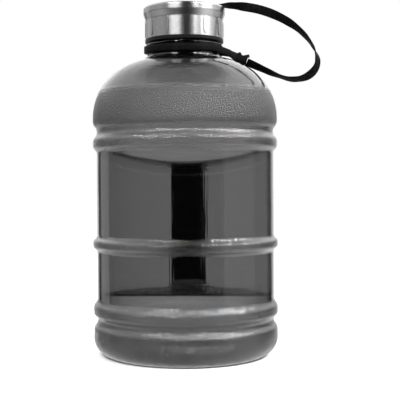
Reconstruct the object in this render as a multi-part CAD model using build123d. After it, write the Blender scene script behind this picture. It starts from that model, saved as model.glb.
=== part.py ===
from build123d import *
import os
from math import pi, radians, sqrt, tan

# A half-gallon water jug: a clear blow-moulded shell with a handle bar at the back, a steel-clad screw cap,
# and a flat strap tied round the neck and held by a swivel on the cap.
# Millimetres, +Z up, origin at the middle of the base. The front faces -Y and the handle bar is at +Y.

# Body of the shell
PANEL_R = 62.8            # smooth panels
GROOVE_R = 62.7           # grooves between the ribs
CREST_R = 65.5            # crests of the ribs and the widest part of the shoulder
BASE_R = 65.3
BASE_CORNER_R = 12.9
FOOT_WIDTH = 4.0          # flat ring that the jug stands on
PUSH_UP = 7.0             # height of the hollow under the base
PUSH_UP_BEND = (0.55, 0.79)  # share of the hollow's radius and height at the middle of its arc
WALL = 1.0
SHOULDER_Z = 166.9        # widest level of the shoulder
DOME_R = 42.7             # radius of the shoulder's arc in section
# Each level where the outline runs straight up: radius, lowest height, highest height
STATIONS = [
    (BASE_R, BASE_CORNER_R, 18.3),
    (GROOVE_R, 25.1, 25.3),
    (CREST_R, 30.9, 33.4),
    (PANEL_R, 40.7, 72.7),
    (CREST_R + 0.2, 77.9, 79.5),
    (PANEL_R, 85.1, 142.1),
    (CREST_R, 147.9, 150.4),
    (GROOVE_R, 157.2, 157.4),
    (CREST_R, 165.4, SHOULDER_Z),
]

# Neck
NECK_R = 26.7
NECK_FILLET = 2.0
BEAD_R = 27.4             # support bead under the thread
BEAD_Z = (217.4, 219.8)
BEAD_ROUND = 0.9
FINISH_R = 24.3           # thread root on the neck
MOUTH_R = 22.4
FINISH_TOP = 236.4

# Two-start thread
THREAD_LEAD = 9.0
THREAD_STARTS = 2
THREAD_DEPTH = 1.15
THREAD_ROOT_W = 2.2
THREAD_TIP_W = 1.2
THREAD_TURNS = 0.62
THREAD_CLEARANCE = 0.35
THREAD_Z = 223.5          # level at which the ridges start
EMBED = 0.5               # how far a ridge runs into the wall that carries it

# Handle: a window right through from side to side, with a bar left standing in it. The bar is pinched
# solid, and only its flared foot is hollow.
REACH = 85.0              # half length of the cutting solids, past the body's widest part
NEAR = 0.1                # how close counts as the same place when edges are picked
WINDOW_INNER_Y = 4.0
WINDOW_FLOOR_Z = 39.6
CEILING_LOW_Z = 136.1     # the ceiling is lowest over the middle and arches up towards both sides
CEILING_ARC_R = 185.0
WINDOW_CORNER_R = 13.5
WINDOW_WALL = 1.4         # thickness of the wall between window and cavity
BAR_WIDTH = 26.3
BAR_INNER_Y = 45.8
BAR_CORNER_R = 5.0
BAR_HEAD_R = 4.5          # flare where the bar meets the ceiling
BAR_FOOT_R = 7.0          # flare where it meets the floor
BAR_SOLID_Z = 47.0        # the bar is solid above this level
FOOT_WALL = 1.0
RIM_R = 2.0               # rounding of the bar's back edges and the window's rim

# Cap: a steel shell over a threaded insert
CAP_R = 27.65
FLANGE_R = 29.15
STEEL_T = 0.6
STEEL_Z0 = 223.3
FLANGE_Z = (236.9, 241.2)  # where the skirt starts to widen and where it is widest
CAP_TOP = 246.1
RECESS_FLOOR_Z = 241.0
RECESS_R = 26.0
FLANGE_ROUNDS = (3.0, 3.0, 1.5, 1.5, 1.0)
GRIP_COUNT = 12
GRIP_SIZE = (11.9, 4.1)   # height and width of each raised oval
GRIP_HEIGHT = 0.35
GRIP_Z = 230.8
GRIP_TURN = 6.0           # degrees from the front to the first oval
HOLE_DEPTH = 4.0          # the rivet's hole is cut this far above and below each top
PART_GAP = 0.05           # between parts of the cap that are pressed together
INSERT_BORE_R = FINISH_R + THREAD_DEPTH + THREAD_CLEARANCE
INSERT_TOP_T = 1.8
LIP_R = 27.95
LIP_Z0 = 220.8
LIP_ROUND = 0.6
GASKET_R = (19.0, 25.6)
SEAT_GAP = 0.1            # gasket to rim, cap closed

# Swivel on the cap's top, and the rivet that holds it
SWIVEL_R = 8.5
SWIVEL_T = 1.5
SWIVEL_GAP = 0.1
SLOT_W = 7.2
SLOT_H = 1.8
BRIDGE_X = (5.4, 9.0)
BRIDGE_T = 1.2
POST_W = 1.6
PLATE_CORNER_R = 1.2
PLATE_ROUND = 0.4
BRIDGE_ROUND = 0.5
RIVET_R = 1.6
RIVET_HEAD_R = 3.0
RIVET_HEAD_T = 1.3
RIVET_HEAD_ROUND = 0.98
RIVET_FOOT_R = 2.6
RIVET_FOOT_T = 0.8
WASHER_R = 5.5
WASHER_T = 0.8

# Strap
STRAP_T = 1.0
STRAP_TUBE_D = 2.8        # a round tube with about the flat strap's area of section
RING_IN_R = 27.5
RING_Z = (211.2, 217.0)
LEG_JOIN_X = 36.6         # where the ring's two legs meet
LEG_GAP = 0.2             # half the space between the legs there
KNOT_CENTRE = (40.0, 0.0, 210.7)
KNOT_SEMI = (7.8, 3.6)
KNOT_TILT = 24.0
KNOT_END_X = 46.1         # the free loop starts on this upright plane
KNOT_CUT = (100.0, 20.0, 40.0)  # block that takes in all of the strap on the jug's side of that plane
LOOP_ROUTE = [
    (9.5, 0.0, 244.4), (19.6, 1.5, 247.5), (30.9, 2.3, 248.4), (42.7, 2.1, 247.2), (56.1, 1.0, 244.3),
    (70.6, 0.0, 237.9), (82.9, -1.0, 229.1), (91.7, -1.5, 217.9), (96.0, -1.0, 205.6), (88.6, 0.0, 196.1),
    (76.7, 0.8, 193.9), (64.9, 1.0, 197.8), (54.6, 0.5, 202.7), (44.5, 0.0, 207.2),
]
ARC_SHARE = 0.45          # each arc takes this share of the shorter run beside it


def s_bend(low, high):
    """Two equal arcs between two points of an outline where it runs straight up."""
    middle = ((low[0] + high[0]) / 2, (low[1] + high[1]) / 2)
    return [TangentArc(low, middle, tangent=(0, 1)), TangentArc(high, middle, tangent=(0, -1))]


def body_outline(inset):
    """Half outline of the body up to the shoulder's widest level, moved inwards by inset."""
    lines = []
    for index, (radius, low, high) in enumerate(STATIONS):
        lines.append(Line((radius - inset, low), (radius - inset, high)))
        if index:
            before, _, top = STATIONS[index - 1]
            lines += s_bend((before - inset, top), (radius - inset, low))
    return lines


def revolved(lines):
    """The solid of revolution of a closed half outline given as radius and height."""
    face = make_face(lines)
    return revolve(Plane.XZ * face, Axis.Z)


def body_solid(inset, neck_r, top_z):
    """The body as a solid: outer surface for inset 0, cavity for inset equal to the wall."""
    corner = BASE_CORNER_R - inset
    foot_r = BASE_R - BASE_CORNER_R
    push_r = foot_r - FOOT_WIDTH
    bend_r, bend_z = PUSH_UP_BEND
    dome = DOME_R - inset
    dome_c = (CREST_R - DOME_R, SHOULDER_Z)
    fillet = NECK_FILLET + inset
    fillet_c_r = neck_r + fillet
    fillet_c = (fillet_c_r, dome_c[1] + sqrt((dome + fillet) ** 2 - (fillet_c_r - dome_c[0]) ** 2))
    share = dome / (dome + fillet)
    join = (dome_c[0] + (fillet_c[0] - dome_c[0]) * share, dome_c[1] + (fillet_c[1] - dome_c[1]) * share)
    lines = body_outline(inset)
    lines += [
        ThreePointArc((0, PUSH_UP + inset), (push_r * bend_r, PUSH_UP * bend_z + inset), (push_r, inset)),
        Line((push_r, inset), (foot_r, inset)),
        TangentArc((foot_r, inset), (foot_r + corner, BASE_CORNER_R), tangent=(1, 0)),
        TangentArc((dome_c[0] + dome, SHOULDER_Z), join, tangent=(0, 1)),
        TangentArc((neck_r, fillet_c[1]), join, tangent=(0, -1)),
        Line((neck_r, fillet_c[1]), (neck_r, top_z)),
        Line((neck_r, top_z), (0, top_z)),
        Line((0, top_z), (0, PUSH_UP + inset)),
    ]
    return revolved(lines)


def window_solid(grow):
    """The window without its bar: level floor, arched ceiling, made larger all round by grow."""
    inner = WINDOW_INNER_Y - grow
    floor = WINDOW_FLOOR_Z - grow
    top = CEILING_LOW_Z + grow
    arc_r = CEILING_ARC_R - grow
    side_z = top + arc_r - sqrt(arc_r ** 2 - REACH ** 2)
    outline = make_face([
        Line((-REACH, side_z), (-REACH, floor)),
        Line((-REACH, floor), (REACH, floor)),
        Line((REACH, floor), (REACH, side_z)),
        ThreePointArc((REACH, side_z), (0, top), (-REACH, side_z)),
    ])
    prism = extrude(Plane(origin=(0, inner, 0), x_dir=(1, 0, 0), z_dir=(0, -1, 0)) * outline, inner - REACH)
    ends = prism.edges().group_by(Axis.Y)[0].filter_by(lambda edge: abs((edge @ 0.5).X) < REACH / 2)
    return fillet(ends, WINDOW_CORNER_R + grow)


def bar_prism(grow, top_z):
    """The bar's straight form, running out past the back, made smaller all round by grow."""
    width = BAR_WIDTH - 2 * grow
    middle_y = BAR_INNER_Y + grow + REACH / 2
    return extrude(Pos(0, middle_y) * RectangleRounded(width, REACH, BAR_CORNER_R - grow), top_z)


def round_bar_end(air, grow, low, high, radius):
    """Flare the edges round the bar's end that lie between two levels."""
    half_width = BAR_WIDTH / 2 - grow

    def at_bar(edge):
        middle = edge @ 0.5
        levels = sorted([(edge @ 0).Z, (edge @ 1).Z])
        beside = abs(middle.X) < half_width + NEAR
        behind = BAR_INNER_Y + grow - NEAR < middle.Y < REACH - NEAR
        return beside and behind and low < levels[0] and levels[1] < high

    return fillet(air.edges().filter_by(at_bar), radius)


def window_air():
    """The air in the window, on both sides of the bar, which flares at its foot and its head."""
    air = window_solid(0) - bar_prism(0, CAP_TOP)
    air = round_bar_end(air, 0, 0, BAR_SOLID_Z, BAR_FOOT_R)
    return round_bar_end(air, 0, CEILING_LOW_Z - BAR_HEAD_R, CAP_TOP, BAR_HEAD_R)


def window_block():
    """What the window, its walls and the bar take out of the cavity, less the hollow in the bar's foot."""
    block = window_solid(WINDOW_WALL) - bar_prism(FOOT_WALL, BAR_SOLID_Z)
    return round_bar_end(block, FOOT_WALL, 0, BAR_SOLID_Z - 1, BAR_FOOT_R + FOOT_WALL)


def thread_ridge(radius, outward, turn, low_z):
    """One helical ridge on a wall of the given radius, standing out from it or into the bore."""
    sign = 1 if outward else -1
    path = Helix(THREAD_LEAD, THREAD_LEAD * THREAD_TURNS, radius)
    root = -sign * EMBED
    tip = sign * THREAD_DEPTH
    section = Polyline(
        (root, -THREAD_ROOT_W / 2), (0, -THREAD_ROOT_W / 2), (tip, -THREAD_TIP_W / 2),
        (tip, THREAD_TIP_W / 2), (0, THREAD_ROOT_W / 2), (root, THREAD_ROOT_W / 2), close=True,
    )
    start = Plane(origin=path @ 0, x_dir=(1, 0, 0), z_dir=path % 0)
    ridge = sweep(start * make_face(section), path=path, is_frenet=True)
    return Pos(0, 0, low_z) * Rot(0, 0, turn) * ridge


def thread(radius, outward, turn, low_z):
    """All starts of the thread, evenly spaced round the axis."""
    step = 360 / THREAD_STARTS
    return [thread_ridge(radius, outward, turn + index * step, low_z) for index in range(THREAD_STARTS)]


def bottle_shell():
    """The blow-moulded shell: outer form less the cavity, in one piece with its bar and neck."""
    outer = body_solid(0, NECK_R, BEAD_Z[0]) - window_air()
    back_y = sqrt(PANEL_R ** 2 - BAR_WIDTH ** 2 / 4)

    def at_bar_back(edge):
        middle = edge @ 0.5
        return abs(abs(middle.X) - BAR_WIDTH / 2) < NEAR and middle.Y > back_y - NEAR

    outer = fillet(outer.edges().filter_by(at_bar_back), RIM_R)
    bead = Pos(0, 0, sum(BEAD_Z) / 2) * Cylinder(BEAD_R, BEAD_Z[1] - BEAD_Z[0])
    outer += fillet(bead.edges().filter_by(GeomType.CIRCLE), BEAD_ROUND)
    finish = Pos(0, 0, (BEAD_Z[0] + FINISH_TOP) / 2) * Cylinder(FINISH_R, FINISH_TOP - BEAD_Z[0])
    outer += fillet(finish.edges().filter_by(GeomType.CIRCLE).sort_by(Axis.Z)[-1], BEAD_ROUND / 2)
    outer = outer.fuse(*thread(FINISH_R, True, 0, THREAD_Z))
    cavity = body_solid(WALL, MOUTH_R, FINISH_TOP + 1) - window_block()
    print(f"capacity to the brim {cavity.volume / 1e6:.3f} litres")
    return outer - cavity


def cap_steel_shell():
    """Drawn sheet: skirt, flange with a rolled edge, and a recessed top, with raised ovals to grip."""
    outside = FilletPolyline(
        (CAP_R, STEEL_Z0), (CAP_R, FLANGE_Z[0]), (FLANGE_R, FLANGE_Z[1]), (FLANGE_R, CAP_TOP),
        (RECESS_R, CAP_TOP), (RECESS_R, RECESS_FLOOR_Z), (0, RECESS_FLOOR_Z), radius=FLANGE_ROUNDS,
    )
    sheet = make_face(offset(outside, STEEL_T, side=Side.RIGHT, closed=True))
    shell = revolve(Plane.XZ * sheet, Axis.Z)
    band = 2 * GRIP_SIZE[0]
    skin = Pos(0, 0, GRIP_Z) * (Cylinder(CAP_R + GRIP_HEIGHT, band) - Cylinder(CAP_R - STEEL_T / 2, band))
    front = Plane(origin=(0, 0, GRIP_Z), x_dir=(0, 0, 1), z_dir=(0, -1, 0))
    pad = extrude(front * SlotOverall(*GRIP_SIZE), FLANGE_R) & skin
    step = 360 / GRIP_COUNT
    shell = shell.fuse(*[Rot(0, 0, GRIP_TURN + index * step) * pad for index in range(GRIP_COUNT)])
    return shell - Pos(0, 0, RECESS_FLOOR_Z) * Cylinder(RIVET_R + PART_GAP, 2 * HOLE_DEPTH)


def cap_insert():
    """Moulded cup with the inside thread; its lip shows under the steel."""
    outer_r = CAP_R - STEEL_T - PART_GAP
    top = RECESS_FLOOR_Z - STEEL_T
    roof = top - INSERT_TOP_T
    section = make_face(Polyline(
        (INSERT_BORE_R, LIP_Z0), (LIP_R, LIP_Z0), (LIP_R, STEEL_Z0), (outer_r, STEEL_Z0), (outer_r, top),
        (0, top), (0, roof), (INSERT_BORE_R, roof), close=True,
    ))
    section = fillet(section.vertices().group_by(Axis.Y)[0].sort_by(Axis.X)[-1], LIP_ROUND)
    cup = revolve(Plane.XZ * section, Axis.Z)
    half_pitch_turn = 360 / THREAD_STARTS / 2
    cup = cup.fuse(*thread(INSERT_BORE_R, False, half_pitch_turn, THREAD_Z))
    return cup - Pos(0, 0, top) * Cylinder(RIVET_R + PART_GAP, 2 * HOLE_DEPTH)


def cap_gasket():
    """Flat silicone ring that the mouth's rim seals against."""
    low = FINISH_TOP + SEAT_GAP
    high = RECESS_FLOOR_Z - STEEL_T - INSERT_TOP_T
    ring = Cylinder(GASKET_R[1], high - low) - Cylinder(GASKET_R[0], high - low)
    return Pos(0, 0, (low + high) / 2) * ring


def strap_swivel():
    """Turning plate on the cap's top, with a bridge that the strap's end is looped round."""
    low = RECESS_FLOOR_Z + SWIVEL_GAP
    half = SLOT_W / 2 + POST_W
    length = BRIDGE_X[1] - BRIDGE_X[0]
    middle = sum(BRIDGE_X) / 2
    plate = Circle(SWIVEL_R) + Pos(BRIDGE_X[1] / 2, 0) * Rectangle(BRIDGE_X[1], 2 * half)
    plate = fillet(plate.vertices().group_by(Axis.X)[-1], PLATE_CORNER_R)
    body = Pos(0, 0, low) * extrude(plate, SWIVEL_T)
    body = fillet(body.edges().group_by(Axis.Z)[-1], PLATE_ROUND)
    bridge_h = SLOT_H + BRIDGE_T
    bridge = Pos(middle, 0, low + SWIVEL_T + bridge_h / 2) * Box(length, 2 * half, bridge_h)
    bridge = fillet(bridge.edges().filter_by(Axis.X).sort_by(Axis.Z)[-2:], BRIDGE_ROUND)
    bridge -= Pos(middle, 0, low + SWIVEL_T + SLOT_H / 2) * Box(2 * length, SLOT_W, SLOT_H)
    return body + bridge - Pos(0, 0, low) * Cylinder(RIVET_R + SWIVEL_GAP, 2 * HOLE_DEPTH)


def swivel_rivet():
    """Steel rivet through swivel, cap and washer, with a low rounded head."""
    head_z = RECESS_FLOOR_Z + SWIVEL_GAP + SWIVEL_T + SWIVEL_GAP
    foot_z = RECESS_FLOOR_Z - STEEL_T - INSERT_TOP_T - WASHER_T
    shank = Pos(0, 0, (head_z + foot_z) / 2) * Cylinder(RIVET_R, head_z - foot_z)
    head = Pos(0, 0, head_z + RIVET_HEAD_T / 2) * Cylinder(RIVET_HEAD_R, RIVET_HEAD_T)
    head = fillet(head.edges().filter_by(GeomType.CIRCLE).sort_by(Axis.Z)[-1], RIVET_HEAD_ROUND)
    foot = Pos(0, 0, foot_z - RIVET_FOOT_T / 2) * Cylinder(RIVET_FOOT_R, RIVET_FOOT_T)
    foot = fillet(foot.edges().filter_by(GeomType.CIRCLE).sort_by(Axis.Z)[0], RIVET_FOOT_T / 2)
    return shank + head + foot


def rivet_washer():
    """Washer that spreads the rivet's foot on the underside of the insert."""
    high = RECESS_FLOOR_Z - STEEL_T - INSERT_TOP_T
    ring = Cylinder(WASHER_R, WASHER_T) - Cylinder(RIVET_R + PART_GAP, WASHER_T)
    return Pos(0, 0, high - WASHER_T / 2) * ring


def knot_side():
    """Block on the jug's side of the plane where the free loop starts."""
    return Pos(KNOT_END_X - KNOT_CUT[0] / 2, 0, KNOT_CENTRE[2]) * Box(*KNOT_CUT)


def strap_knot():
    """The knot's outer form: a spheroid lying down the shoulder, cut upright where the loop starts."""
    length, radius = KNOT_SEMI
    half = [
        EllipticalCenterArc((0, 0), length, radius, arc_size=180),
        Line((length, 0), (-length, 0)),
    ]
    blob = Pos(*KNOT_CENTRE) * Rot(0, KNOT_TILT, 0) * revolve(make_face(half), Axis.X)
    return blob & knot_side()


def strap_neck_ring():
    """The strap round the neck, with its two legs running together into the knot."""
    def teardrop(ring_r, tip_r):
        edges = Circle(ring_r).edges() + (Pos(LEG_JOIN_X, 0) * Circle(tip_r)).edges()
        return make_hull(edges)

    outline = teardrop(RING_IN_R + STRAP_T, LEG_GAP + STRAP_T) - teardrop(RING_IN_R, LEG_GAP)
    ring = Pos(0, 0, RING_Z[0]) * extrude(outline, RING_Z[1] - RING_Z[0])
    return ring - strap_knot()


def arc_radii(points):
    """The largest arc that each corner's two runs allow."""
    radii = []
    for before, here, after in zip(points, points[1:], points[2:]):
        first, second = here - before, after - here
        half_turn = radians(first.get_angle(second)) / 2
        radii.append(ARC_SHARE * min(first.length, second.length) / tan(half_turn))
    return radii


def strap_loop():
    """The free loop of strap from the swivel, out over the cap's rim and back down to the knot."""
    points = [Vector(*point) for point in LOOP_ROUTE]
    path = FilletPolyline(*points, radius=arc_radii(points))
    section = Plane(origin=path @ 0, z_dir=path % 0) * Circle(STRAP_TUBE_D / 2)
    tube = sweep(section, path=path)
    expected = pi * STRAP_TUBE_D ** 2 / 4 * path.length
    print(f"strap loop length {path.length:.1f}, volume {tube.volume:.1f}, section x length {expected:.1f}")
    return tube - knot_side()


PARTS = {
    "bottle_shell": bottle_shell,
    "cap_steel_shell": cap_steel_shell,
    "cap_insert": cap_insert,
    "cap_gasket": cap_gasket,
    "strap_swivel": strap_swivel,
    "swivel_rivet": swivel_rivet,
    "rivet_washer": rivet_washer,
    "strap_neck_ring": strap_neck_ring,
    "strap_knot": strap_knot,
    "strap_loop": strap_loop,
}

os.makedirs("parts", exist_ok=True)
for name, build in PARTS.items():
    export_step(build(), os.path.join("parts", name + ".step"))
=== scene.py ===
"""Looks of the water jug: clear grey plastic shell, brushed steel cap and flat black strap.

The studio is white straight through the jug, and its reflections see a darker room with lit panels."""
from math import cos, pi, radians, sin

import bpy
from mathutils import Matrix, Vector

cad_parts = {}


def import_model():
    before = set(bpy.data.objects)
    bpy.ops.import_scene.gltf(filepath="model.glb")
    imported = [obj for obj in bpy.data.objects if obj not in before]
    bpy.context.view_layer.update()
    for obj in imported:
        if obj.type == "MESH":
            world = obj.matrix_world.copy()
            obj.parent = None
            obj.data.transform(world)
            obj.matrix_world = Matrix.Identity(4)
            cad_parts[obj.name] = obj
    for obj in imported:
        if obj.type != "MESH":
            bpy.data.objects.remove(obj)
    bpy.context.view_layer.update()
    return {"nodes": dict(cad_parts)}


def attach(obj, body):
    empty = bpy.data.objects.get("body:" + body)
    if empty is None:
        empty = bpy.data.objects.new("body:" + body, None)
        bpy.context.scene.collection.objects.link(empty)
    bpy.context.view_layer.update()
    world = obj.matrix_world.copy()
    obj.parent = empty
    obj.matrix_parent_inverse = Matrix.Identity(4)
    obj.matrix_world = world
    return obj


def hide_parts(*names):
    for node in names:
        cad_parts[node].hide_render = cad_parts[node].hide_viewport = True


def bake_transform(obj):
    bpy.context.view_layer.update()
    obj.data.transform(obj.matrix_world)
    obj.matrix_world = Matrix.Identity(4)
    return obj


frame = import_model()
nodes = frame["nodes"]
MM = 0.001


# Node helpers

def new_material(name):
    material = bpy.data.materials.new(name)
    material.use_nodes = True
    tree = material.node_tree
    return material, tree, tree.nodes["Principled BSDF"], tree.nodes["Material Output"]


def add(tree, kind, **values):
    """A node with its plain properties and its unlinked inputs set by name."""
    node = tree.nodes.new(kind)
    for key, value in values.items():
        if key in node.inputs:
            node.inputs[key].default_value = value
        else:
            setattr(node, key, value)
    return node


def math_node(tree, operation, first, second=None, third=None, clamp=False):
    node = tree.nodes.new("ShaderNodeMath")
    node.operation = operation
    node.use_clamp = clamp
    for index, value in enumerate((first, second, third)):
        if value is None:
            continue
        if isinstance(value, (int, float)):
            node.inputs[index].default_value = value
        else:
            tree.links.new(value, node.inputs[index])
    return node.outputs[0]


def ramp(tree, factor, stops):
    node = tree.nodes.new("ShaderNodeValToRGB")
    elements = node.color_ramp.elements
    while len(elements) < len(stops):
        elements.new(1.0)
    for element, (place, value) in zip(elements, stops):
        element.position = place
        element.color = (value, value, value, 1)
    tree.links.new(factor, node.inputs[0])
    return node.outputs[0]


# Materials

GREY_ABSORPTION = 890.0    # per metre of wall
CLEAR_ROUGHNESS = 0.012
# Bands of pebbled surface, upwards: base, lower ribs, middle rib, upper ribs, lower dome.
# Each has its lowest and highest level in metres, the softness of its top edge, its roughness, and its
# share of the pebble depth.
PEBBLE_BANDS = [
    (-0.01, 0.015, 0.0012, 0.1, 1.0),
    (0.015, 0.0395, 0.0012, 0.05, 0.35),
    (0.0735, 0.0842, 0.0012, 0.04, 0.3),
    (0.1435, 0.161, 0.001, 0.05, 0.35),
    (0.161, 0.186, 0.005, 0.32, 0.9),
]
PEBBLE_DEPTH = 0.001
BAND_EDGE = 0.0012
PEBBLE_MIN_R = 0.0605       # the walls of the window lie inside this radius and are smooth
BASE_TOP = 0.0125           # below this height the rounded base is pebbled at any radius
SEAM_HALF = 0.0004          # half width of the mould's seam
DRAW_STRETCH = (420, 420, 7)  # fine across and long upwards

# Brushed steel
MARKS_ROUND = 6.0           # how fast the marks change round the cap, and across their run
MARKS_ACROSS = 9000.0
STEEL_TONES = [(0.25, 0.24), (0.75, 0.46)]
STEEL_ROUGH = (0.22, 0.38)

# The weave's pitch along and across the strap
RIB_PITCH = 0.0006
PICK_PITCH = 0.0005


def step_up(tree, value, threshold, edge):
    """0 below the threshold and 1 above it, with a soft edge."""
    node = add(tree, "ShaderNodeMapRange", interpolation_type="SMOOTHSTEP")
    node.inputs["From Min"].default_value = threshold - edge
    node.inputs["From Max"].default_value = threshold + edge
    tree.links.new(value, node.inputs["Value"])
    return node.outputs[0]


def pebble_bands(tree, height, radius):
    """Roughness and pebble depth over the outside: ribs, base and lower shoulder are pebbled."""
    outside = math_node(tree, "MAXIMUM", step_up(tree, radius, PEBBLE_MIN_R, BAND_EDGE / 2),
                        math_node(tree, "SUBTRACT", 1.0, step_up(tree, height, BASE_TOP, BAND_EDGE)))
    rough, depth = CLEAR_ROUGHNESS, 0.0
    for low, high, fade, band_rough, band_depth in PEBBLE_BANDS:
        above_low, above_high = step_up(tree, height, low, BAND_EDGE), step_up(tree, height, high, fade)
        band = math_node(tree, "SUBTRACT", above_low, above_high)
        band = math_node(tree, "MULTIPLY", band, outside)
        rough = math_node(tree, "MULTIPLY_ADD", band, band_rough, rough)
        depth = math_node(tree, "MULTIPLY_ADD", band, band_depth, depth)
    return rough, depth


def bump_chain(tree, layers):
    """Bump nodes one after another, each from a height, a strength and a distance."""
    normal = None
    for height, strength, distance in layers:
        node = add(tree, "ShaderNodeBump", Strength=strength, Distance=distance)
        tree.links.new(height, node.inputs["Height"])
        if normal is not None:
            tree.links.new(normal, node.inputs["Normal"])
        normal = node.outputs[0]
    return normal


def clear_grey():
    """Smoky clear plastic: pebbled bands, faint upright draw lines, and the mould's seam down the middle."""
    material, tree, shader, output = new_material("clear_grey_plastic")
    shader.inputs["Base Color"].default_value = (1, 1, 1, 1)
    shader.inputs["Transmission Weight"].default_value = 1.0
    shader.inputs["IOR"].default_value = 1.5
    absorb = add(tree, "ShaderNodeVolumeAbsorption", Color=(0, 0, 0, 1), Density=GREY_ABSORPTION)
    tree.links.new(absorb.outputs[0], output.inputs["Volume"])

    place = add(tree, "ShaderNodeTexCoord").outputs["Object"]
    split = add(tree, "ShaderNodeSeparateXYZ")
    tree.links.new(place, split.inputs[0])
    flat = add(tree, "ShaderNodeVectorMath", operation="MULTIPLY")
    tree.links.new(place, flat.inputs[0])
    flat.inputs[1].default_value = (1, 1, 0)
    reach = add(tree, "ShaderNodeVectorMath", operation="LENGTH")
    tree.links.new(flat.outputs[0], reach.inputs[0])
    rough, depth = pebble_bands(tree, split.outputs["Z"], reach.outputs["Value"])
    tree.links.new(rough, shader.inputs["Roughness"])

    pebbles = add(tree, "ShaderNodeTexNoise", Scale=1200.0, Detail=1.0, Roughness=0.5)
    tree.links.new(place, pebbles.inputs["Vector"])
    grains = math_node(tree, "MULTIPLY", pebbles.outputs[0], depth)

    stretch = add(tree, "ShaderNodeVectorMath", operation="MULTIPLY")
    tree.links.new(place, stretch.inputs[0])
    stretch.inputs[1].default_value = DRAW_STRETCH
    draw_lines = add(tree, "ShaderNodeTexNoise", Scale=1.0, Detail=2.0, Roughness=0.6)
    tree.links.new(stretch.outputs[0], draw_lines.inputs["Vector"])
    drift = add(tree, "ShaderNodeTexNoise", Scale=38.0, Detail=1.0)
    tree.links.new(place, drift.inputs["Vector"])
    beside = math_node(tree, "ABSOLUTE", split.outputs["X"])
    seam = math_node(tree, "SUBTRACT", 1.0, math_node(tree, "DIVIDE", beside, SEAM_HALF), clamp=True)
    normal = bump_chain(tree, [
        (grains, 1.0, PEBBLE_DEPTH), (draw_lines.outputs[0], 0.5, 0.0002), (drift.outputs[0], 0.15, 0.0008),
        (seam, 0.3, 0.00006),
    ])
    tree.links.new(normal, shader.inputs["Normal"])
    return material


def brushed_steel():
    """Stainless sheet with fine marks round the cap and a slight mottling."""
    material, tree, shader, _ = new_material("brushed_steel")
    shader.inputs["Metallic"].default_value = 1.0
    shader.inputs["Anisotropic"].default_value = 0.85
    shader.inputs["Anisotropic Rotation"].default_value = 0.25
    place = add(tree, "ShaderNodeTexCoord").outputs["Object"]
    split = add(tree, "ShaderNodeSeparateXYZ")
    tree.links.new(place, split.inputs[0])
    radius = math_node(tree, "POWER", math_node(
        tree, "ADD", math_node(tree, "MULTIPLY", split.outputs["X"], split.outputs["X"]),
        math_node(tree, "MULTIPLY", split.outputs["Y"], split.outputs["Y"])), 0.5)
    angle = math_node(tree, "ARCTAN2", split.outputs["Y"], split.outputs["X"])
    join = add(tree, "ShaderNodeCombineXYZ")
    tree.links.new(math_node(tree, "MULTIPLY", angle, MARKS_ROUND), join.inputs[0])
    tree.links.new(math_node(tree, "MULTIPLY", radius, MARKS_ACROSS), join.inputs[1])
    tree.links.new(math_node(tree, "MULTIPLY", split.outputs["Z"], MARKS_ACROSS), join.inputs[2])
    marks = add(tree, "ShaderNodeTexNoise", Scale=1.0, Detail=3.0, Roughness=0.7)
    tree.links.new(join.outputs[0], marks.inputs["Vector"])
    tree.links.new(ramp(tree, marks.outputs[0], STEEL_TONES), shader.inputs["Base Color"])
    rough = add(tree, "ShaderNodeMapRange")
    rough.inputs["To Min"].default_value = STEEL_ROUGH[0]
    rough.inputs["To Max"].default_value = STEEL_ROUGH[1]
    tree.links.new(marks.outputs[0], rough.inputs["Value"])
    tree.links.new(rough.outputs[0], shader.inputs["Roughness"])
    bump = add(tree, "ShaderNodeBump", Strength=0.25, Distance=0.00005)
    tree.links.new(marks.outputs[0], bump.inputs["Height"])
    tree.links.new(bump.outputs[0], shader.inputs["Normal"])
    tangent = add(tree, "ShaderNodeTangent", direction_type="RADIAL", axis="Z")
    tree.links.new(tangent.outputs[0], shader.inputs["Tangent"])
    return material


def moulded(name, colour, roughness, grain):
    """Moulded plastic or rubber with a fine grain."""
    material, tree, shader, _ = new_material(name)
    shader.inputs["Specular IOR Level"].default_value = 0.12
    place = add(tree, "ShaderNodeTexCoord").outputs["Object"]
    noise = add(tree, "ShaderNodeTexNoise", Scale=1400.0, Detail=3.0)
    tree.links.new(place, noise.inputs["Vector"])
    patches = add(tree, "ShaderNodeTexNoise", Scale=60.0, Detail=2.0)
    tree.links.new(place, patches.inputs["Vector"])
    mix = add(tree, "ShaderNodeMix", data_type="RGBA")
    tree.links.new(patches.outputs[0], mix.inputs[0])
    mix.inputs[6].default_value = (*[c * 0.85 for c in colour], 1)
    mix.inputs[7].default_value = (*[min(1, c * 1.15) for c in colour], 1)
    tree.links.new(mix.outputs[2], shader.inputs["Base Color"])
    rough = add(tree, "ShaderNodeMapRange")
    rough.inputs["To Min"].default_value = roughness * 0.85
    rough.inputs["To Max"].default_value = roughness * 1.15
    tree.links.new(patches.outputs[0], rough.inputs["Value"])
    tree.links.new(rough.outputs[0], shader.inputs["Roughness"])
    bump = add(tree, "ShaderNodeBump", Strength=grain, Distance=0.0001)
    tree.links.new(noise.outputs[0], bump.inputs["Height"])
    tree.links.new(bump.outputs[0], shader.inputs["Normal"])
    return material


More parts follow.
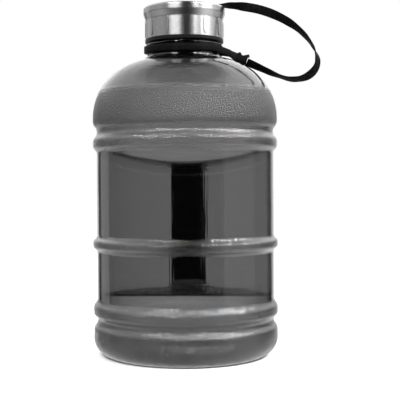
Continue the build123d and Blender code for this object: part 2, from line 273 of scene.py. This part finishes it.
def strap_weave():
    """Tightly woven flat black strap: fine ribs along it and picks across it."""
    material, tree, shader, _ = new_material("black_strap")
    uv = add(tree, "ShaderNodeTexCoord").outputs["UV"]
    split = add(tree, "ShaderNodeSeparateXYZ")
    tree.links.new(uv, split.inputs[0])
    ribs = math_node(tree, "SINE", math_node(tree, "MULTIPLY", split.outputs["Y"], 2 * pi / RIB_PITCH))
    picks = math_node(tree, "SINE", math_node(tree, "MULTIPLY", split.outputs["X"], 2 * pi / PICK_PITCH))
    weave = math_node(tree, "MULTIPLY", ribs, picks)
    noise = add(tree, "ShaderNodeTexNoise", Scale=500.0, Detail=3.0)
    tree.links.new(uv, noise.inputs["Vector"])
    height = math_node(tree, "ADD", weave, noise.outputs[0])
    tone = ramp(tree, noise.outputs[0], [(0.3, 0.001), (0.7, 0.004)])
    tree.links.new(tone, shader.inputs["Base Color"])
    shader.inputs["Roughness"].default_value = 0.5
    shader.inputs["Specular IOR Level"].default_value = 0.04
    bump = add(tree, "ShaderNodeBump", Strength=0.3, Distance=0.00008)
    tree.links.new(height, bump.inputs["Height"])
    tree.links.new(bump.outputs[0], shader.inputs["Normal"])
    return material


def give(name, material):
    mesh = nodes[name].data
    mesh.materials.clear()
    mesh.materials.append(material)


# The strap

STRAP_WIDTH = 6.4 * MM
STRAP_THICK = 1.0 * MM
LOOP_ROUTE = [
    (9.5, 0.0, 244.4), (19.6, 1.5, 247.5), (30.9, 2.3, 248.4), (42.7, 2.1, 247.2), (56.1, 1.0, 244.3),
    (70.6, 0.0, 237.9), (82.9, -1.0, 229.1), (91.7, -1.5, 217.9), (96.0, -1.0, 205.6), (88.6, 0.0, 196.1),
    (76.7, 0.8, 193.9), (64.9, 1.0, 197.8), (54.6, 0.5, 202.7), (44.5, 0.0, 207.2),
]
# Turn of the strap's flat about its own line, in degrees: 0 is edge-on from the front, 90 is face-on
LOOP_TURNS = [0, 4, 35, 80, 78, 52, 24, 6, -38, -58, -30, -14, -32, -50]


def smooth_path(points, per_point=24):
    """Points along a smooth line that has these as its control points, in metres."""
    curve = bpy.data.curves.new("path", "CURVE")
    curve.dimensions = "3D"
    curve.resolution_u = per_point
    spline = curve.splines.new("NURBS")
    spline.points.add(len(points) - 1)
    for target, point in zip(spline.points, points):
        target.co = (*point, 1)
    spline.order_u = 3
    spline.use_endpoint_u = True
    holder = bpy.data.objects.new("path", curve)
    mesh = bpy.data.meshes.new_from_object(holder)
    path = [vertex.co.copy() for vertex in mesh.vertices]
    bpy.data.objects.remove(holder)
    bpy.data.curves.remove(curve)
    bpy.data.meshes.remove(mesh)
    return path


def strap_section(width, thick):
    """Outline of the strap's section, flat across with rounded edges."""
    radius = thick / 2 * 0.9
    outline = []
    for side, start in ((1, -90), (-1, 90)):
        for step in range(7):
            angle = radians(start + 180 * step / 6)
            outline.append(((width / 2 - radius) * side + radius * cos(angle), thick / 2 * sin(angle)))
    return outline


def ribbon(name, path, across, width=STRAP_WIDTH, thick=STRAP_THICK, closed=False):
    """A flat strap along path, whose width lies along the matching direction in across."""
    outline = strap_section(width, thick)
    count = len(outline)
    verts, uvs, run = [], [], 0.0
    for index, here in enumerate(path):
        before = path[index - 1] if index or closed else here
        after = path[(index + 1) % len(path)] if index + 1 < len(path) or closed else here
        along = (after - before).normalized()
        side = across[index] - along * across[index].dot(along)
        side.normalize()
        up = along.cross(side)
        if index:
            run += (here - path[index - 1]).length
        for x, y in outline:
            verts.append(here + side * x + up * y)
            uvs.append((run, x))
    faces = []
    rings = len(path)
    for ring in range(rings if closed else rings - 1):
        after = (ring + 1) % rings
        for corner in range(count):
            turn = (corner + 1) % count
            near, far = ring * count, after * count
            faces.append((near + corner, near + turn, far + turn, far + corner))
    if not closed:
        faces.append(tuple(reversed(range(count))))
        faces.append(tuple(range((rings - 1) * count, rings * count)))
    mesh = bpy.data.meshes.new(name)
    mesh.from_pydata(verts, [], faces)
    layer = mesh.uv_layers.new(name="strap")
    for loop in mesh.loops:
        layer.data[loop.index].uv = uvs[loop.vertex_index]
    for face in mesh.polygons:
        face.use_smooth = True
    mesh.update()
    made = bpy.data.objects.new(name, mesh)
    bpy.context.scene.collection.objects.link(made)
    return made


def spread(values, count):
    """Values eased from one control point to the next, at count places."""
    out = []
    for index in range(count):
        place = index / (count - 1) * (len(values) - 1)
        low = min(int(place), len(values) - 2)
        share = place - low
        share = share * share * (3 - 2 * share)
        out.append(values[low] * (1 - share) + values[low + 1] * share)
    return out


RING_R = 28.3               # middle of the strap's thickness round the neck
RING_Z = 216.3
RING_RISE = 1.5             # the ring sits higher at the back than at the front
RING_WIDTH = 4.9
RING_FROM = 39              # degrees either side of +X where the two legs leave the ring
KNOT_CENTRE = (39.6, 0.0, 209.2)


def place_ribbon(name, path, across, material, body, **shape):
    """A strap piece in millimetres that rides on one body."""
    made = ribbon(name, [Vector(point) * MM for point in path], [Vector(side) for side in across], **shape)
    made.data.materials.append(material)
    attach(made, body)
    return made


def neck_ring(material):
    """The strap's turn round the neck, whose two legs run down into the knot."""
    path = [(41.5, 0.7, 209.0), (37.5, 1.3, 211.4), (32.0, 7.4, 214.6)]
    for step in range(61):
        angle = radians(RING_FROM + (360 - 2 * RING_FROM) * step / 60)
        path.append((RING_R * cos(angle), RING_R * sin(angle), RING_Z + RING_RISE * sin(angle)))
    path += [(32.0, -7.4, 212.9), (37.5, -1.7, 209.2), (41.5, -0.7, 206.8)]
    across = [(0, 0, 1)] * len(path)
    ring = place_ribbon("strap_round_neck", path, across, material, "bottle", width=RING_WIDTH * MM)
    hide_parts("strap_neck_ring")


def wrap(name, centre, long_way, semi, width, material, body):
    """A closed turn of strap whose long way lies in the XZ plane."""
    middle, up = Vector(centre), Vector(long_way).normalized()
    across = Vector((0, 1, 0)).cross(up)
    path = []
    for step in range(40):
        angle = 2 * pi * step / 40
        path.append(middle + up * semi[0] * cos(angle) + Vector((0, 1, 0)) * semi[1] * sin(angle))
    return place_ribbon(name, path, [across] * len(path), material, body, width=width * MM, closed=True)


def knot(material):
    """An overhand knot: two crossing turns of strap, and the cut end that sticks out of it."""
    first = wrap("knot_first_turn", KNOT_CENTRE, (-0.42, 0, 0.91), (4.3, 2.9), 5.0, material, "bottle")
    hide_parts("strap_knot")
    wrap("knot_second_turn", (42.3, 0, 208.3), (0.3, 0, 0.95), (3.0, 2.4), 4.4, material, "bottle")
    wrap("knot_inner_turn", (39.8, 0, 209.0), (0.1, 0, 0.99), (2.4, 1.6), 6.0, material, "bottle")
    tail = [(40.5, -1.6, 209.6), (42.5, -2.0, 210.6), (44.5, -1.9, 211.0), (46.3, -1.7, 211.3)]
    place_ribbon("knot_tail", tail, [(0, 0.3, 1)] * len(tail), material, "bottle", width=2.4 * MM)


def swivel_fold(material):
    """The strap's end, folded round the swivel's bridge."""
    centre, half, corner = (7.2, 244.95), (2.75, 1.4), 0.9
    path = []
    for turn, (side, rise) in enumerate(((1, 1), (-1, 1), (-1, -1), (1, -1))):
        for step in range(5):
            angle = radians(90 * turn + 90 * step / 4)
            path.append((centre[0] + side * (half[0] - corner) + corner * cos(angle), 0,
                         centre[1] + rise * (half[1] - corner) + corner * sin(angle)))
    place_ribbon("strap_fold", path, [(0, 1, 0)] * len(path), material, "strap_end", closed=True)


def strap_loop(material):
    path = smooth_path([Vector(point) * MM for point in LOOP_ROUTE])
    turns = spread(LOOP_TURNS, len(path))
    across = []
    for index, turn in enumerate(turns):
        along = path[min(index + 1, len(path) - 1)] - path[max(index - 1, 0)]
        normal = Vector((0, 1, 0)).cross(along).normalized()
        across.append(Vector((0, 1, 0)) * cos(radians(turn)) + normal * sin(radians(turn)))
    loop = ribbon("strap_loop_flat", path, across)
    loop.data.materials.append(material)
    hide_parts("strap_loop")
    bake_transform(loop)
    return loop


# Studio

AIM_HEIGHT = 0.13           # the soft lights aim at this level
LIGHT_LIFT = 38             # degrees above level
LIGHT_DISTANCE = 1.1


def camera():
    """Level camera, slightly to the right of the jug's front."""
    distance, height = 0.659, 0.1206
    azimuth, roll = radians(2.6), radians(0.37)
    data = bpy.data.cameras.new("camera")
    data.sensor_width = 36
    data.lens = 83
    data.shift_x = 0.037
    data.shift_y = -0.04
    holder = bpy.data.objects.new("camera", data)
    holder.location = (distance * sin(azimuth), -distance * cos(azimuth), height)
    holder.rotation_euler = (radians(90), roll, azimuth)
    bpy.context.scene.collection.objects.link(holder)
    bpy.context.scene.camera = holder


def softbox(name, azimuth, size, power):
    """A rectangular soft light aimed at the jug's middle; azimuth is from the front towards +X."""
    data = bpy.data.lights.new(name, "AREA")
    data.shape = "RECTANGLE"
    data.size, data.size_y = size
    data.energy = power
    holder = bpy.data.objects.new(name, data)
    turn, lift = radians(azimuth), radians(LIGHT_LIFT)
    away = Vector((sin(turn) * cos(lift), -cos(turn) * cos(lift), sin(lift)))
    target = Vector((0, 0, AIM_HEIGHT))
    holder.location = target + away * LIGHT_DISTANCE
    holder.rotation_euler = away.to_track_quat("Z", "Y").to_euler()
    holder.visible_transmission = False
    bpy.context.scene.collection.objects.link(holder)
    return holder


FLOOR_REACH = 6.0

# What reflections see. Turns are in degrees from the front, towards +X; lifts are degrees above level.
BACKDROP_HALF = (26, 33)    # turn from straight behind at which the white starts to fade and where it is gone
BACKDROP_TOP = 50
FRONT_HALF = (28, 72)       # the room is dark straight in front and lit to both sides
ROOM_DARK = 0.03
RIGHT_LEAN = 0.25           # the right side is brighter than the left by this share
# Lift and level of the lit sides, dark again at eye level so that smooth upright walls stay clear
ROOM_LEVELS = [
    (-90, 0.2), (-45, 1.1), (-16, 1.5), (-11, 0), (10, 0), (15, 2.0), (52, 2.0), (64, 0.4), (90, 0.4),
]
# Eye-level panels: turn from and to, lift from and to, softness of the edges, level
PANELS = [(51, 103, -14, 14, 4, 0.62), (103, 132, -14, 14, 4, 0.34), (-138, -112, -14, 14, 3, 0.6)]


def between(tree, value, low, high, edge):
    return math_node(tree, "SUBTRACT", step_up(tree, value, radians(low), radians(edge)),
                     step_up(tree, value, radians(high), radians(edge)))


def world():
    """White for everything but reflections, which see a studio."""
    scene_world = bpy.data.worlds.new("studio")
    bpy.context.scene.world = scene_world
    scene_world.use_nodes = True
    tree = scene_world.node_tree
    background = tree.nodes["Background"]
    split = add(tree, "ShaderNodeSeparateXYZ")
    tree.links.new(add(tree, "ShaderNodeTexCoord").outputs["Generated"], split.inputs[0])
    forward = math_node(tree, "MULTIPLY", split.outputs["Y"], -1.0)
    turn = math_node(tree, "ARCTAN2", split.outputs["X"], forward)
    lift = math_node(tree, "ARCSINE", split.outputs["Z"])
    apart = math_node(tree, "ABSOLUTE", turn)
    start, gone = BACKDROP_HALF
    behind = step_up(tree, apart, radians(180 - (start + gone) / 2), radians((gone - start) / 2))
    under_top = math_node(tree, "SUBTRACT", 1.0, step_up(tree, lift, radians(BACKDROP_TOP), radians(2)))
    seen = math_node(tree, "MULTIPLY", behind, under_top)
    place = math_node(tree, "ADD", math_node(tree, "DIVIDE", lift, pi), 0.5)
    brightest = max(level for _, level in ROOM_LEVELS)
    room = ramp(tree, place, [(angle / 180 + 0.5, level / brightest) for angle, level in ROOM_LEVELS])
    start, full = FRONT_HALF
    sides = step_up(tree, apart, radians((start + full) / 2), radians((full - start) / 2))
    lean = math_node(tree, "MULTIPLY_ADD", math_node(tree, "SINE", turn), RIGHT_LEAN, 1.0)
    sides = math_node(tree, "MULTIPLY", sides, lean)
    room = math_node(tree, "MULTIPLY", math_node(tree, "MULTIPLY", room, brightest), sides)
    seen = math_node(tree, "MAXIMUM", seen, math_node(tree, "ADD", room, ROOM_DARK))
    for left, right, low, high, edge, level in PANELS:
        wide, tall = between(tree, turn, left, right, edge), between(tree, lift, low, high, edge)
        panel = math_node(tree, "MULTIPLY", wide, tall)
        seen = math_node(tree, "MAXIMUM", seen, math_node(tree, "MULTIPLY", panel, level))
    rays = add(tree, "ShaderNodeLightPath")
    mirrored = math_node(tree, "GREATER_THAN", rays.outputs["Glossy Depth"], 0.5)
    mix = add(tree, "ShaderNodeMix", data_type="RGBA")
    tree.links.new(mirrored, mix.inputs[0])
    mix.inputs[6].default_value = (1, 1, 1, 1)
    tree.links.new(seen, mix.inputs[7])
    tree.links.new(mix.outputs[2], background.inputs["Color"])
    background.inputs["Strength"].default_value = 1.0


def floor():
    """A pale floor that holds the shadow, hidden from reflections and from rays through the plastic."""
    mesh = bpy.data.meshes.new("floor")
    reach = FLOOR_REACH
    corners = [(-reach, -reach, 0), (reach, -reach, 0), (reach, reach, 0), (-reach, reach, 0)]
    mesh.from_pydata(corners, [], [(0, 1, 2, 3)])
    made = bpy.data.objects.new("floor", mesh)
    bpy.context.scene.collection.objects.link(made)
    material, tree, shader, _ = new_material("pale_floor")
    shader.inputs["Base Color"].default_value = (1, 1, 1, 1)
    shader.inputs["Roughness"].default_value = 0.9
    shader.inputs["Specular IOR Level"].default_value = 0.0
    mesh.materials.append(material)
    made.visible_glossy = False
    made.visible_transmission = False


bpy.context.scene.view_settings.view_transform = "Standard"
camera()
world()
floor()
softbox("soft_left", -26, (0.5, 0.1), 10)
softbox("soft_right", 39, (0.23, 0.1), 5.5)
softbox("soft_far_right", 75, (0.59, 0.1), 12)

strap = strap_weave()
black = moulded("black_plastic", (0.005, 0.005, 0.006), 0.35, 0.3)
steel = brushed_steel()
give("bottle_shell", clear_grey())
give("cap_steel_shell", steel)
give("cap_insert", black)
give("strap_swivel", black)
give("cap_gasket", moulded("grey_silicone", (0.6, 0.6, 0.58), 0.5, 0.4))
give("swivel_rivet", steel)
give("rivet_washer", steel)
neck_ring(strap)
knot(strap)
swivel_fold(strap)
strap_loop(strap)
